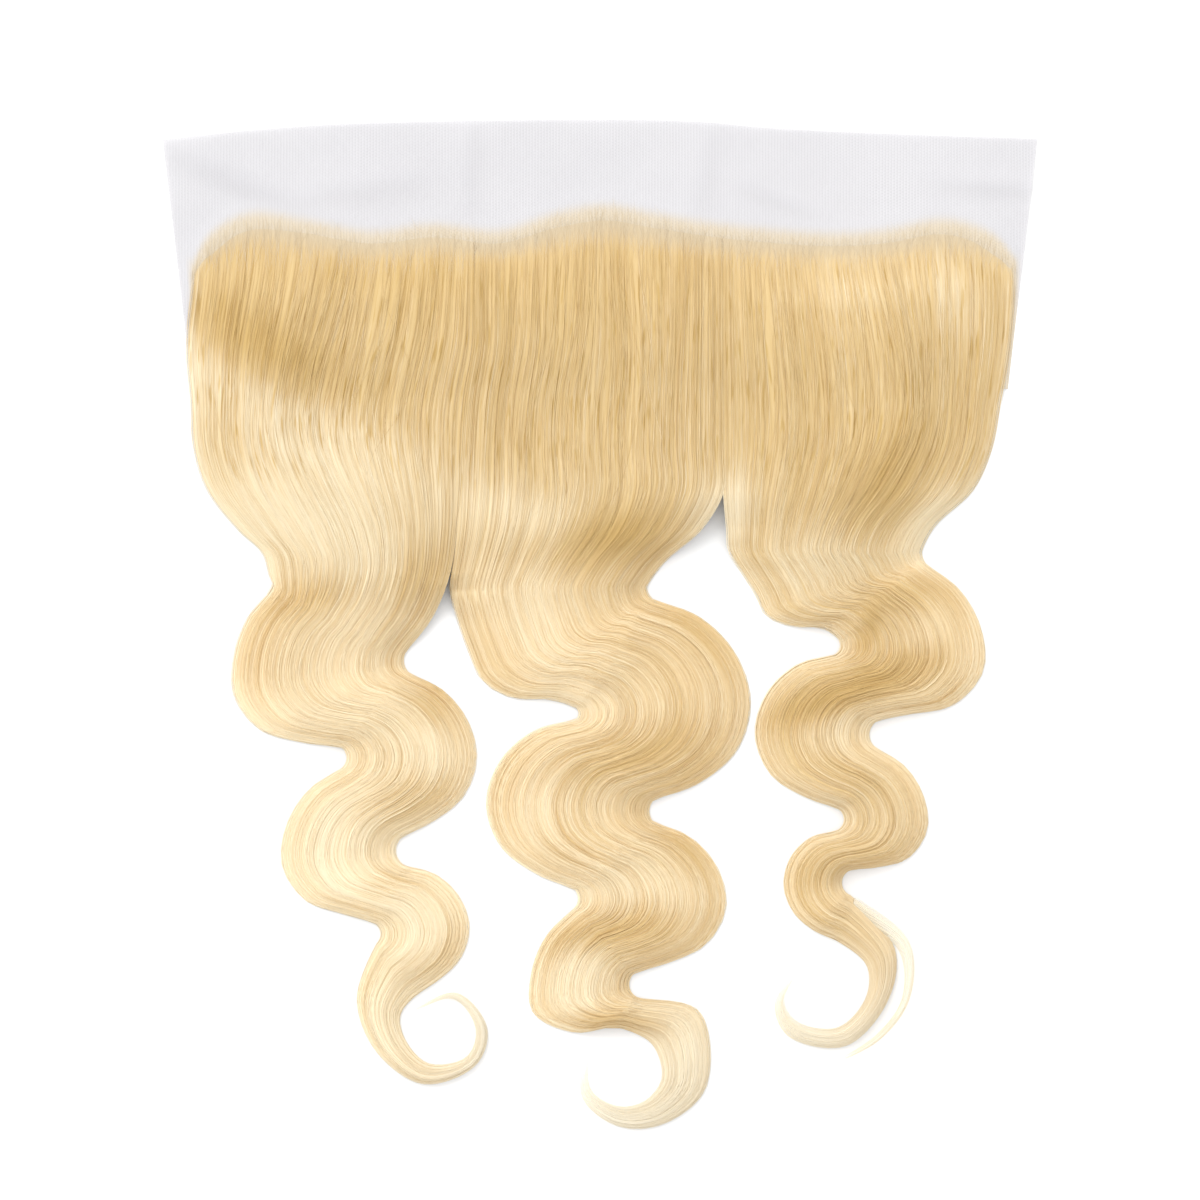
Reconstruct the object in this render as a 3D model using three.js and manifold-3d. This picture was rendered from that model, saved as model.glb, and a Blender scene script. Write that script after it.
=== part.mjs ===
// Lace frontal: a band of hair lace with three hanks of body-wave hair, lying flat on a table.
// Millimetres, +Z up. X runs along the lace from ear to ear, and +Y points at its front edge.
// The origin is on the table, under the middle of the whole piece.
import * as THREE from "three";
import { mergeVertices } from "three/addons/utils/BufferGeometryUtils.js";
import Module from "manifold-3d";

const wasm = await Module();
wasm.setup();

// Driving dimensions.
const LACE_WIDTH = 330; // front edge, ear to ear
const LAY_LENGTH = 380; // front edge of the lace to the lowest curl, as it lies
const LACE_DEPTH = 101.6; // crown of the front edge to the back edge
const LACE_BACK_WIDTH = 308; // back edge, hidden under the hair
const LACE_THICKNESS = 1;
const HAIR_LOFT = 13; // height of the pile where it is fullest
const EDGE_LOFT = 2.2; // height of a hank at its side edges
const FOLD_LIFT = 1.6; // height of the lace's highest soft fold
const FREE_MARGIN = 12; // the folds fade over this distance from the hairline
const SEAT_GAP = 0.3; // between the lace and the hair on it
const PARTING_GAP = 0.7; // between two hanks where they lie side by side

// Width over length of the plan that the tables were drawn in. An arc is round at the sizes
// above and turns elliptical when one of them changes, so that a hank never folds into itself.
const PLAN_RATIO = 0.8687;

// Every across, hollow, reach and width in a table is a share of LACE_WIDTH, counted from the
// middle line. Every down is a share of LAY_LENGTH, counted from the crown of the front edge.
// Every loft is a share of HAIR_LOFT, and every lift a share of FOLD_LIFT.

// The lace's front edge, which bows forward between its two corners.
const FRONT_EDGE = [
  { across: -0.5, down: 0.02 },
  { across: -0.39, down: 0.01 },
  { across: -0.28, down: 0.004 },
  { across: 0.02, down: 0 },
  { across: 0.11, down: 0.002 },
  { across: 0.19, down: 0.008 },
  { across: 0.33, down: 0.014 },
  { across: 0.5, down: 0.019 },
];

// The hairline: a point at each temple, a shallow bay inside it and a peak in the middle.
const HAIRLINE = [
  { across: -0.466, down: 0.15 },
  { across: -0.446, down: 0.122 },
  { across: -0.4, down: 0.101 },
  { across: -0.34, down: 0.107 },
  { across: -0.262, down: 0.119 },
  { across: -0.19, down: 0.112 },
  { across: -0.115, down: 0.118 },
  { across: -0.05, down: 0.101 },
  { across: 0.007, down: 0.093 },
  { across: 0.06, down: 0.101 },
  { across: 0.14, down: 0.112 },
  { across: 0.27, down: 0.121 },
  { across: 0.33, down: 0.117 },
  { across: 0.395, down: 0.107 },
  { across: 0.45, down: 0.122 },
  { across: 0.475, down: 0.146 },
];

// The straight field below the hairline: the two outer edges, and the two partings between.
// Hold is how high a hank stands at a parting, as a share of its height there.
const FIELD = [
  { down: 0.17, left: -0.468, leftPart: -0.144, rightPart: 0.14, right: 0.475, loft: 0.62, hold: 0.95 },
  { down: 0.224, left: -0.474, leftPart: -0.144, rightPart: 0.14, right: 0.47, loft: 0.86, hold: 0.95 },
  { down: 0.278, left: -0.469, leftPart: -0.154, rightPart: 0.141, right: 0.459, loft: 0.76, hold: 0.95 },
  { down: 0.328, left: -0.465, leftPart: -0.158, rightPart: 0.141, right: 0.448, loft: 0.84, hold: 0.93 },
  { down: 0.368, left: -0.45, leftPart: -0.16, rightPart: 0.141, right: 0.427, loft: 0.96, hold: 0.85 },
];

// Each hank leaves the field through its neck sections, swings round one turn after another
// and ends in a curl. A neck section is given by its two ends. A turn's hair lies between
// hollow and reach from its pivot, which is on the side named, and the higher its trail, the
// sooner it draws in after it was widest. A curl has a row for each section, with the degrees
// turned since its first one.
const ROOT_LOFT = 0.22;
const HANKS = [
  {
    name: "hair_left",
    from: "left",
    to: "leftPart",
    neck: [
      { leftAcross: -0.414, leftDown: 0.408, leftHold: 0, across: -0.164, down: 0.408, hold: 0.85, loft: 1 },
      { leftAcross: -0.387, leftDown: 0.43, leftHold: 0, across: -0.173, down: 0.455, hold: 0.75, loft: 1 },
      { leftAcross: -0.379, leftDown: 0.452, leftHold: 0, across: -0.194, down: 0.497, hold: 0.2, loft: 0.9 },
    ],
    turns: [
      { side: "right", across: -0.205, down: 0.537, hollow: 0.0195, reach: 0.218, trail: 1.6, loft: 0.68 },
      { side: "left", across: -0.305, down: 0.634, hollow: 0.015, reach: 0.164, trail: 1.6, loft: 0.62 },
      { side: "right", across: -0.214, down: 0.726, hollow: 0.0195, reach: 0.151, trail: 2.2, loft: 0.54 },
      { side: "left", across: -0.265, down: 0.809, hollow: 0.014, reach: 0.116, trail: 2.2, loft: 0.46 },
    ],
    curl: {
      side: "right",
      across: -0.186,
      down: 0.905,
      rows: [
        { turned: 0, hollow: 0.047, width: 0.074, loft: 0.5 },
        { turned: 33, hollow: 0.046, width: 0.053, loft: 0.42 },
        { turned: 73, hollow: 0.038, width: 0.036, loft: 0.36 },
        { turned: 130, hollow: 0.039, width: 0.024, loft: 0.3 },
        { turned: 193, hollow: 0.045, width: 0.014, loft: 0.22 },
        { turned: 237, hollow: 0.044, width: 0.013, loft: 0.2 },
        { turned: 297, hollow: 0.041, width: 0.008, loft: 0.16 },
        { turned: 377, hollow: 0.036, width: 0.003, loft: 0.1 },
      ],
    },
  },
  {
    name: "hair_middle",
    from: "leftPart",
    to: "rightPart",
    neck: [
      { leftAcross: -0.162, leftDown: 0.408, leftHold: 0.9, across: 0.117, down: 0.406, hold: 0.4, loft: 1 },
      { leftAcross: -0.168, leftDown: 0.447, leftHold: 0.75, across: 0.073, down: 0.44, hold: 0, loft: 0.94 },
    ],
    turns: [
      { side: "right", across: 0.072, down: 0.464, hollow: 0.018, reach: 0.234, trail: 2.5, loft: 0.74 },
      { side: "left", across: -0.033, down: 0.59, hollow: 0.008, reach: 0.206, trail: 1.3, loft: 0.72 },
      { side: "right", across: 0.074, down: 0.687, hollow: 0.0175, reach: 0.205, trail: 1.4, loft: 0.66 },
      { side: "left", across: -0.041, down: 0.774, hollow: 0.0155, reach: 0.186, trail: 1.7, loft: 0.58 },
      { side: "right", across: 0.05, down: 0.859, hollow: 0.0165, reach: 0.131, trail: 4.2, loft: 0.48 },
    ],
    curl: {
      side: "left",
      across: 0.025,
      down: 0.942,
      rows: [
        { turned: 0, hollow: 0.043, width: 0.0395, loft: 0.5 },
        { turned: 39, hollow: 0.044, width: 0.066, loft: 0.36 },
        { turned: 89, hollow: 0.047, width: 0.052, loft: 0.32 },
        { turned: 129, hollow: 0.046, width: 0.034, loft: 0.28 },
        { turned: 169, hollow: 0.044, width: 0.023, loft: 0.24 },
        { turned: 219, hollow: 0.043, width: 0.014, loft: 0.18 },
        { turned: 281, hollow: 0.043, width: 0.003, loft: 0.1 },
      ],
    },
  },
  {
    name: "hair_right",
    from: "rightPart",
    to: "right",
    neck: [
      { leftAcross: 0.145, leftDown: 0.408, leftHold: 0.35, across: 0.383, down: 0.404, hold: 0, loft: 1 },
    ],
    turns: [
      { side: "right", across: 0.391, down: 0.429, hollow: 0.023, reach: 0.215, trail: 3.3, loft: 0.78 },
      { side: "left", across: 0.262, down: 0.522, hollow: 0.0125, reach: 0.179, trail: 2.2, loft: 0.7 },
      { side: "right", across: 0.326, down: 0.611, hollow: 0.018, reach: 0.149, trail: 1.7, loft: 0.64 },
      { side: "left", across: 0.265, down: 0.695, hollow: 0.014, reach: 0.11, trail: 2, loft: 0.58 },
      { side: "right", across: 0.292, down: 0.758, hollow: 0.0155, reach: 0.082, trail: 2.6, loft: 0.5 },
    ],
    curl: {
      side: "left",
      across: 0.257,
      down: 0.865,
      rows: [
        { turned: 0, hollow: 0.058, width: 0.054, loft: 0.5 },
        { turned: 44, hollow: 0.056, width: 0.037, loft: 0.42 },
        { turned: 84, hollow: 0.048, width: 0.025, loft: 0.36 },
        { turned: 144, hollow: 0.045, width: 0.023, loft: 0.3 },
        { turned: 204, hollow: 0.047, width: 0.02, loft: 0.24 },
        { turned: 239, hollow: 0.048, width: 0.011, loft: 0.18 },
        { turned: 286, hollow: 0.037, width: 0.003, loft: 0.1 },
      ],
    },
    // A thin lock that parts from the outside of the curl and hangs wide of it.
    wisp: [
      { turned: 2, hollow: 0.083, width: 0.032, loft: 0.26 },
      { turned: 44, hollow: 0.096, width: 0.016, loft: 0.22 },
      { turned: 79, hollow: 0.089, width: 0.009, loft: 0.2 },
      { turned: 114, hollow: 0.078, width: 0.007, loft: 0.16 },
      { turned: 160, hollow: 0.085, width: 0.003, loft: 0.1 },
    ],
  },
];

// Soft folds in the bare front of the lace: the middle of each, how it lies in degrees from
// the X axis, half its length and half its breadth as shares of LACE_WIDTH, and its lift.
const FOLDS = [
  { across: -0.43, down: 0.055, lies: -24, half: 0.09, breadth: 0.016, lift: 1 },
  { across: -0.27, down: 0.068, lies: 8, half: 0.07, breadth: 0.014, lift: 0.5 },
  { across: -0.15, down: 0.05, lies: 88, half: 0.07, breadth: 0.012, lift: 0.6 },
  { across: 0.12, down: 0.05, lies: 80, half: 0.07, breadth: 0.016, lift: 0.7 },
  { across: 0.2, down: 0.078, lies: -22, half: 0.05, breadth: 0.01, lift: 0.5 },
  { across: 0.45, down: 0.066, lies: -4, half: 0.06, breadth: 0.012, lift: 0.8 },
];

// How finely the shapes are cut into faces.
const STEPS_PER_LOCK = 2; // across a hank, valley to crest and crest to valley
const TURN_SECTIONS = 6; // sections that a turn is drawn through
const SECTION_STEPS = 2; // rings of points from one section to the next
const CURL_STEPS = 3; // the same in a curl, whose sections lie further apart
const HALVINGS = 24; // of a line, to find the place on it over a given across
const LACE_COLUMNS = 54;
const LACE_ROWS = 9;
const WELD = 1e-4; // points closer than this are one

// The form of a hank.
const GROOVE = 0.16; // how far a groove between two locks drops, as a share of the height
const LOCK_HEIGHTS = [0.08, -0.04, -0.1, 0.03, 0.1]; // of each lock above the mean, likewise
const LOCKS = LOCK_HEIGHTS.length;
const DOME = 2.4; // power of the rounded cross-section: higher is flatter on top
const HAIRLINE_FADE = 2; // sections over which the bend of the hairline dies out
const LEAD = 0.5; // the first turn starts this far on, as a share of the last neck step
const SWELL = 1.32; // the pile is this much higher where two turns meet and hair crowds in

const laceMaterial = new THREE.MeshStandardMaterial({
  color: 0xe9e8ee,
  roughness: 0.8,
  metalness: 0,
});
const hairMaterial = new THREE.MeshStandardMaterial({
  color: 0xe3c88d,
  roughness: 0.45,
  metalness: 0,
});

// Table shares to the drawn plan, which is 1 wide and 1 / PLAN_RATIO long, and on to millimetres.
const drawn = (across, down) => new THREE.Vector2(across, -down / PLAN_RATIO);
const toX = (point) => point.x * LACE_WIDTH;
const toY = (point) => (point.y * PLAN_RATIO + 0.5) * LAY_LENGTH;

const mix = THREE.MathUtils.lerp;
const ease = (x) => THREE.MathUtils.smoothstep(x, 0, 1);

// A smooth curve through points of the drawn plan, read at a fraction of their count.
function smoothLine(points) {
  const curve = new THREE.CatmullRomCurve3(
    points.map((p) => new THREE.Vector3(p.x, p.y, 0)),
    false,
    "centripetal",
  );
  return (t) => {
    const p = curve.getPoint(Math.min(Math.max(t, 0), 1));
    return new THREE.Vector2(p.x, p.y);
  };
}

// A table of across and down, read at any across between its first and last row.
function lineOver(table) {
  const line = smoothLine(table.map((row) => drawn(row.across, row.down)));
  return (across) => {
    let low = 0;
    let high = 1;
    for (let i = 0; i < HALVINGS; i += 1) {
      const middle = (low + high) / 2;
      if (line(middle).x < across) low = middle;
      else high = middle;
    }
    return line(low).y;
  };
}

const hairlineAt = lineOver(HAIRLINE);
const frontEdgeAt = lineOver(FRONT_EDGE);

// A section of a turn: its hair lies from hollow to reach along one direction from the pivot.
function turnSection(pivot, side, angle, hollow, reach, loft) {
  const way = new THREE.Vector2(Math.cos(angle), Math.sin(angle));
  const near = pivot.clone().addScaledVector(way, hollow);
  const far = pivot.clone().addScaledVector(way, reach);
  const ends = side === "left" ? { left: near, right: far } : { left: far, right: near };
  return { ...ends, loft, leftHold: 0, rightHold: 0 };
}

// Degrees turned count clockwise round a pivot on the hair's left, and the other way on its right.
const turnSign = (side) => (side === "left" ? -1 : 1);

function angleBetween(from, to, side) {
  const full = 2 * Math.PI;
  const swept = (to - from) * turnSign(side);
  return (((swept % full) + full) % full) * turnSign(side);
}

const pivotOf = (turn) => drawn(turn.across, turn.down);
const hollowOf = (turn) => (turn.rows ? turn.rows[0].hollow : turn.hollow);
const loftOf = (turn) => (turn.rows ? turn.rows[0].loft : turn.loft);

// The sections round one turn, from the line to the pivot before it to the line to the next.
function sectionsOfTurn(turn, before, after) {
  const pivot = pivotOf(turn);
  const start = before.end.clone().sub(pivot);
  const end = pivotOf(after).sub(pivot);
  const swing = angleBetween(start.angle(), end.angle(), turn.side);
  const startReach = start.length() - before.hollow;
  const endReach = end.length() - hollowOf(after);
  const startLoft = before.loft;
  const endLoft = (SWELL * (turn.loft + loftOf(after))) / 2;
  const made = [];
  for (let i = 0; i < TURN_SECTIONS; i += 1) {
    const share = i / TURN_SECTIONS;
    const late = share > 0.5;
    const full = Math.sin(Math.PI * share) ** (late ? turn.trail : 1);
    const reach = mix(late ? endReach : startReach, turn.reach, full);
    const loft = mix(late ? endLoft : startLoft, turn.loft, full);
    const angle = start.angle() + swing * share;
    made.push(turnSection(pivot, turn.side, angle, turn.hollow, reach, loft));
  }
  return { made, last: { end: pivot, hollow: turn.hollow, loft: endLoft } };
}

// The sections of a curl or wisp, which starts on the line to the pivot before it.
function sectionsOfCurl(curl, rows, before) {
  const pivot = pivotOf(curl);
  const start = before.clone().sub(pivot).angle();
  return rows.map((row) => {
    const angle = start + turnSign(curl.side) * THREE.MathUtils.degToRad(row.turned);
    const reach = row.hollow + row.width;
    const section = turnSection(pivot, curl.side, angle, row.hollow, reach, row.loft);
    return { ...section, steps: CURL_STEPS };
  });
}

// All the sections of a hank, root first, and the pivot that its curl hangs from.
function sectionsOf(hank) {
  const gapShare = PARTING_GAP / 2 / LACE_WIDTH;
  const leftGap = hank.from === "left" ? 0 : gapShare;
  const rightGap = hank.to === "right" ? 0 : gapShare;
  const edge = (row, name) => row[name] + (name === hank.from ? leftGap : -rightGap);
  const rootOf = (name) => {
    const across = edge(FIELD[0], name);
    const held = Math.min(Math.max(across, HAIRLINE[0].across), HAIRLINE.at(-1).across);
    return new THREE.Vector2(held, hairlineAt(held));
  };
  const holdsOf = (row) => ({
    leftHold: hank.from === "left" ? 0 : row.hold,
    rightHold: hank.to === "right" ? 0 : row.hold,
  });
  const root = { left: rootOf(hank.from), right: rootOf(hank.to), loft: ROOT_LOFT };
  const sections = [{ ...root, ...holdsOf(FIELD[0]) }];
  for (const row of FIELD) {
    const left = drawn(edge(row, hank.from), row.down);
    const right = drawn(edge(row, hank.to), row.down);
    sections.push({ left, right, loft: row.loft, ...holdsOf(row) });
  }
  for (const row of hank.neck) {
    const left = drawn(row.leftAcross + leftGap, row.leftDown);
    const right = drawn(row.across - rightGap, row.down);
    const { loft, leftHold, hold } = row;
    sections.push({ left, right, loft, leftHold, rightHold: hold });
  }
  const last = sections.at(-1);
  const far = last.left.clone().lerp(sections.at(-2).left, -LEAD);
  let before = { end: far, hollow: 0, loft: last.loft };
  hank.turns.forEach((turn, i) => {
    const after = hank.turns[i + 1] ?? hank.curl;
    const { made, last: joint } = sectionsOfTurn(turn, before, after);
    if (i === 0) made[0].leftHold = last.leftHold / 2;
    sections.push(...made);
    before = joint;
  });
  sections.push(...sectionsOfCurl(hank.curl, hank.curl.rows, before.end));
  return { sections, lastPivot: before.end };
}

// Height of a hank's rounded top at a fraction u across it, with its locks and grooves. hold
// is how high it stands at the edge on that side.
function heightAcross(u, loft, hold) {
  const round = mix(1 - Math.abs(2 * u - 1) ** DOME, 1, hold);
  const lock = Math.min(Math.floor(u * LOCKS), LOCKS - 1);
  const ridge = Math.abs(Math.sin(Math.PI * u * LOCKS));
  const uneven = LOCK_HEIGHTS[lock];
  const top = loft * HAIR_LOFT;
  const edge = Math.min(EDGE_LOFT, top);
  return mix(edge, top * (1 - GROOVE * (1 - ridge) + uneven * ridge), round);
}

// A closed solid between a top and a base grid of points. Both are lists of rows, left to
// right in a row and each row further back than the one before it. A step across the base
// spans one or more steps of the top.
function solidBetween(topRows, baseRows) {
  const cells = baseRows[0].length - 1;
  const span = (topRows[0].length - 1) / cells;
  const rings = topRows.map((row, r) => [...row, ...baseRows[r].toReversed()]);
  const count = rings[0].length;
  const positions = rings.flat().flatMap((p) => [p.x, p.y, p.z]);
  const faces = [];
  const quad = (a, b, c, d) => faces.push(a, b, c, a, c, d);
  for (let r = 0; r + 1 < rings.length; r += 1) {
    for (let i = 0; i < count; i += 1) {
      const next = (i + 1) % count;
      quad(r * count + i, (r + 1) * count + i, (r + 1) * count + next, r * count + next);
    }
  }
  const last = (rings.length - 1) * count;
  for (let cell = 0; cell < cells; cell += 1) {
    const under = count - 1 - cell;
    const end = (cell + 1) * span;
    for (let i = cell * span; i < end; i += 1) {
      faces.push(under, i, i + 1);
      faces.push(last + under, last + i + 1, last + i);
    }
    faces.push(under, end, under - 1);
    faces.push(last + under, last + under - 1, last + end);
  }
  return asManifold(positions, faces);
}

function asManifold(positions, faces) {
  const raw = new THREE.BufferGeometry();
  raw.setAttribute("position", new THREE.Float32BufferAttribute(positions, 3));
  raw.setIndex(faces);
  const merged = mergeVertices(raw, WELD);
  return new wasm.Manifold(
    new wasm.Mesh({
      numProp: 3,
      vertProperties: merged.getAttribute("position").array,
      triVerts: new Uint32Array(merged.index.array),
    }),
  );
}

function meshOf(name, solid, material) {
  const { vertProperties, triVerts } = solid.getMesh();
  const geometry = new THREE.BufferGeometry();
  geometry.setAttribute("position", new THREE.Float32BufferAttribute(vertProperties, 3));
  geometry.setIndex(new THREE.BufferAttribute(triVerts, 1));
  const mesh = new THREE.Mesh(geometry, material);
  mesh.name = name;
  return mesh;
}

// Hair through its sections, with a flat base on the table. bow moves the points of the first
// sections onto the hairline.
function hairSolid(sections, locks, bow = () => 0) {
  const stepsAcross = locks * STEPS_PER_LOCK;
  const leftLine = smoothLine(sections.map((s) => s.left));
  const rightLine = smoothLine(sections.map((s) => s.right));
  const last = sections.length - 1;
  const places = sections.slice(0, last).flatMap(({ steps = SECTION_STEPS }, row) =>
    [...Array(steps).keys()].map((step) => row + step / steps),
  );
  const tops = [];
  for (const at of [...places, last]) {
    const row = Math.min(Math.floor(at), last - 1);
    const between = (name) => mix(sections[row][name], sections[row + 1][name], ease(at - row));
    const left = leftLine(at / last);
    const right = rightLine(at / last);
    const top = [];
    for (let j = 0; j <= stepsAcross; j += 1) {
      const u = j / stepsAcross;
      const point = left.clone().lerp(right, u);
      point.y += bow(u, at);
      const hold = between(u < 0.5 ? "leftHold" : "rightHold");
      top.push(new THREE.Vector3(toX(point), toY(point), heightAcross(u, between("loft"), hold)));
    }
    tops.push(top);
  }
  const onTable = (p) => new THREE.Vector3(p.x, p.y, 0);
  const baseOf = (top) => top.filter((_, j) => j % STEPS_PER_LOCK === 0).map(onTable);
  return solidBetween(tops, tops.map(baseOf));
}

function hankSolid(hank, laceSeat) {
  const { sections, lastPivot } = sectionsOf(hank);
  const { left, right } = sections[0];
  const bow = (u, at) => {
    const chord = left.clone().lerp(right, u);
    const fade = Math.max(0, 1 - at / HAIRLINE_FADE) ** 2;
    return (hairlineAt(chord.x) - chord.y) * fade;
  };
  let solid = hairSolid(sections, LOCKS, bow);
  if (hank.wisp) {
    const strip = sectionsOfCurl(hank.curl, hank.wisp, lastPivot);
    solid = solid.add(hairSolid(strip, 1));
  }
  return solid.subtract(laceSeat);
}

// How far the lace's soft folds lift it off the table. They die out before the hair starts.
function foldLift(point) {
  const toHair = (point.y - hairlineAt(point.x)) * LACE_WIDTH;
  const free = ease(toHair / FREE_MARGIN);
  let lift = 0;
  for (const fold of FOLDS) {
    const way = THREE.MathUtils.degToRad(fold.lies);
    const off = point.clone().sub(drawn(fold.across, fold.down));
    const along = off.x * Math.cos(way) + off.y * Math.sin(way);
    const aside = off.y * Math.cos(way) - off.x * Math.sin(way);
    const bell = Math.exp(-((aside / fold.breadth) ** 2) - (along / fold.half) ** 2);
    lift += fold.lift * bell;
  }
  return lift * free * FOLD_LIFT;
}

// The lace's outline as a grid: front edge to back edge in rows, left side to right side in
// columns. grow moves its rim outwards.
function lacePoint(column, row, grow = 0) {
  const share = column / LACE_COLUMNS;
  const front = new THREE.Vector2(share - 0.5, frontEdgeAt(share - 0.5));
  const frontY = toY(front);
  const backY = toY(drawn(0, 0)) - LACE_DEPTH;
  const down = row / LACE_ROWS;
  const halfWidth = mix(LACE_WIDTH, LACE_BACK_WIDTH, down) / 2 + grow;
  const x = mix(-halfWidth, halfWidth, share);
  const y = mix(frontY + grow, backY - grow, down);
  return { x, y };
}

function laceSheet() {
  const rows = [...Array(LACE_ROWS + 1).keys()];
  const columns = [...Array(LACE_COLUMNS + 1).keys()];
  const point = (column, row, base) => {
    const { x, y } = lacePoint(column, row);
    const held = Math.min(Math.max(x / LACE_WIDTH, HAIRLINE[0].across), HAIRLINE.at(-1).across);
    const plan = new THREE.Vector2(held, (y / LAY_LENGTH - 0.5) / PLAN_RATIO);
    return new THREE.Vector3(x, y, base + foldLift(plan));
  };
  const grid = (base) => rows.map((row) => columns.map((column) => point(column, row, base)));
  return solidBetween(grid(LACE_THICKNESS), grid(0));
}

// The room that the lace takes under the hair, with the seat's clearance all round.
function laceSeatSolid() {
  const columns = [...Array(LACE_COLUMNS + 1).keys()];
  const grid = (z) =>
    [0, LACE_ROWS].map((row) =>
      columns.map((column) => {
        const { x, y } = lacePoint(column, row, SEAT_GAP);
        return new THREE.Vector3(x, y, z);
      }),
    );
  return solidBetween(grid(LACE_THICKNESS + SEAT_GAP), grid(-SEAT_GAP));
}

const frontal = new THREE.Group();
frontal.name = "lace_frontal";
frontal.add(meshOf("lace_base", laceSheet(), laceMaterial));
const seat = laceSeatSolid();
for (const hank of HANKS) {
  frontal.add(meshOf(hank.name, hankSolid(hank, seat), hairMaterial));
}

export default frontal;
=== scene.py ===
"""Lace frontal laid flat: hair lace, hanks of wavy hair over it, loose strands and hairline.

Lengths are in metres. X runs along the lace, +Y points at its front edge and +Z is up.
"""

import bpy
import numpy as np
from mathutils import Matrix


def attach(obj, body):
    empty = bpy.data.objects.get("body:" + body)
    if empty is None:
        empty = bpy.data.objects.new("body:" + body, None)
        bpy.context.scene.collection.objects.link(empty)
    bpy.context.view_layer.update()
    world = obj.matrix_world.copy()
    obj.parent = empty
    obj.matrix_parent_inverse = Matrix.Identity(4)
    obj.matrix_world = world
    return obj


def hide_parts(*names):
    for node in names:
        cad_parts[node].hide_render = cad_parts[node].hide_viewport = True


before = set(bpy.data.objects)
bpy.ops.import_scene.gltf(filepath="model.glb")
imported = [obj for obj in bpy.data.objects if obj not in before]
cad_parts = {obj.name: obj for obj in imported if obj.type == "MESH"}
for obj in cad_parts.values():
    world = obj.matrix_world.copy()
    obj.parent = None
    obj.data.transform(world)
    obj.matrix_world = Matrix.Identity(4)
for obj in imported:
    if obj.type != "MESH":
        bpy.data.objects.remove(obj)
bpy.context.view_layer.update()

bl_info = {
    "name": "Lace Frontal",
    "version": (1, 0, 0),
    "blender": (4, 5, 0),
    "location": "View3D > Sidebar > Frontal",
    "description": "Builds a lace frontal with wavy hair, laid flat on a pale floor",
    "category": "Object",
}

MM = 0.001

# The same plan as the solids: every across, hollow, reach and width is a share of the lace's
# width, with across counted from the middle line, every down is a share of the lay length
# counted from the crown of the front edge, and every loft is a share of the fullest pile.
LACE_WIDTH = 330 * MM
LAY_LENGTH = 380 * MM
LACE_DEPTH = 101.6 * MM
LACE_BACK_WIDTH = 308 * MM
LACE_TOP = 1.3 * MM
PARTING_GAP = -0.6 * MM  # the hairs of two hanks mix here
PLAN_RATIO = 0.8687  # of the lace's width to the lay length
ROOT_LOFT = 0.22  # of the pile at the hairline
HAIRLINE_FADE = 2  # sections over which the bend of the hairline dies out
LEAD = 0.5  # how far on the first turn starts, as a share of the last neck step
SWELL = 1.32  # how much higher the pile is where two turns meet
TURN_SECTIONS = 6
DOME = 2.4  # power of the rounded cross-section

BACK_SLOPE = 8 * MM  # the hair comes down from the lace to the table over this length
SIDE_SLOPE = 3 * MM  # the same at the lace's sides
FREE_MARGIN = 12 * MM  # the lace's folds fade over this distance from the hair
FREE_HEIGHT = 0.45 * MM  # of the bare lace above the table
LEAST_HEIGHT = 0.08 * MM  # of the lace at its sides and back
KNOT_REACH = 6 * MM  # of the knots in front of the hairline
HAIR_RIM = 2 * MM  # the hair thins out over this breadth at a free side
SIDE_RIM = 6 * MM  # in this breadth free hair is painted lighter as rim light, and other hair has no grooves
TIP_FADE = 90 * MM  # the hair thins out over this length at its tips
UNDERCUT = 0.03  # how far the underside draws in, as a share of the breadth
UNDER_FADE = 0.06  # the underside thins out over this share of the breadth
SUNK = 0.06 * MM  # of the underside into what it lies on
LANE_STEP = 8  # lanes of a hank's top to one of its underside
WISP_LANES, WISP_RINGS = 25, 90
STRAND_STEPS, WISP_STEPS = 124, 60
STRAND_LIFT = 0.08 * MM  # of every loose hair above its hank
FROM_ROOTS, CUT_SHORT, ASTRAY = 0.6, 0.3, 0.04  # shares of the loose hairs
WISP_HAIRS = 60
HAIRLINE_HAIRS = 600  # to each hank

# In pixels: the photograph's frame, the lace in it, and how far below its middle the lay sits.
FRAME_PIXELS, LACE_PIXELS, LOW_PIXELS = 1200, 874, 23
CAMERA_HEIGHT = 2.6
FLOOR_HALF = 6.0

# In degrees: how wide the lamp looks, and its turns from straight down.
LAMP_WIDTH, LAMP_TURNS = 32, (-38, -32, 0)


def table(columns, *rows):
    """A table with named columns as a list of dicts."""
    return [dict(zip(columns.split(), row)) for row in rows]


FRONT_EDGE = table(
    "across down",
    (-0.5, 0.02),
    (-0.39, 0.01),
    (-0.28, 0.004),
    (0.02, 0),
    (0.11, 0.002),
    (0.19, 0.008),
    (0.33, 0.014),
    (0.5, 0.019),
)
HAIRLINE = table(
    "across down",
    (-0.466, 0.15),
    (-0.446, 0.122),
    (-0.4, 0.101),
    (-0.34, 0.107),
    (-0.262, 0.119),
    (-0.19, 0.112),
    (-0.115, 0.118),
    (-0.05, 0.101),
    (0.007, 0.093),
    (0.06, 0.101),
    (0.14, 0.112),
    (0.27, 0.121),
    (0.33, 0.117),
    (0.395, 0.107),
    (0.45, 0.122),
    (0.475, 0.146),
)
FIELD = table(
    "down left left_part right_part right loft hold",
    (0.17, -0.468, -0.144, 0.14, 0.475, 0.62, 0.95),
    (0.224, -0.474, -0.144, 0.14, 0.47, 0.86, 0.95),
    (0.278, -0.469, -0.154, 0.141, 0.459, 0.76, 0.95),
    (0.328, -0.465, -0.158, 0.141, 0.448, 0.84, 0.93),
    (0.368, -0.45, -0.16, 0.141, 0.427, 0.96, 0.85),
)
NECK = "left_across left_down left_hold across down hold loft"
TURN = "side across down hollow reach trail loft"
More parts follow.
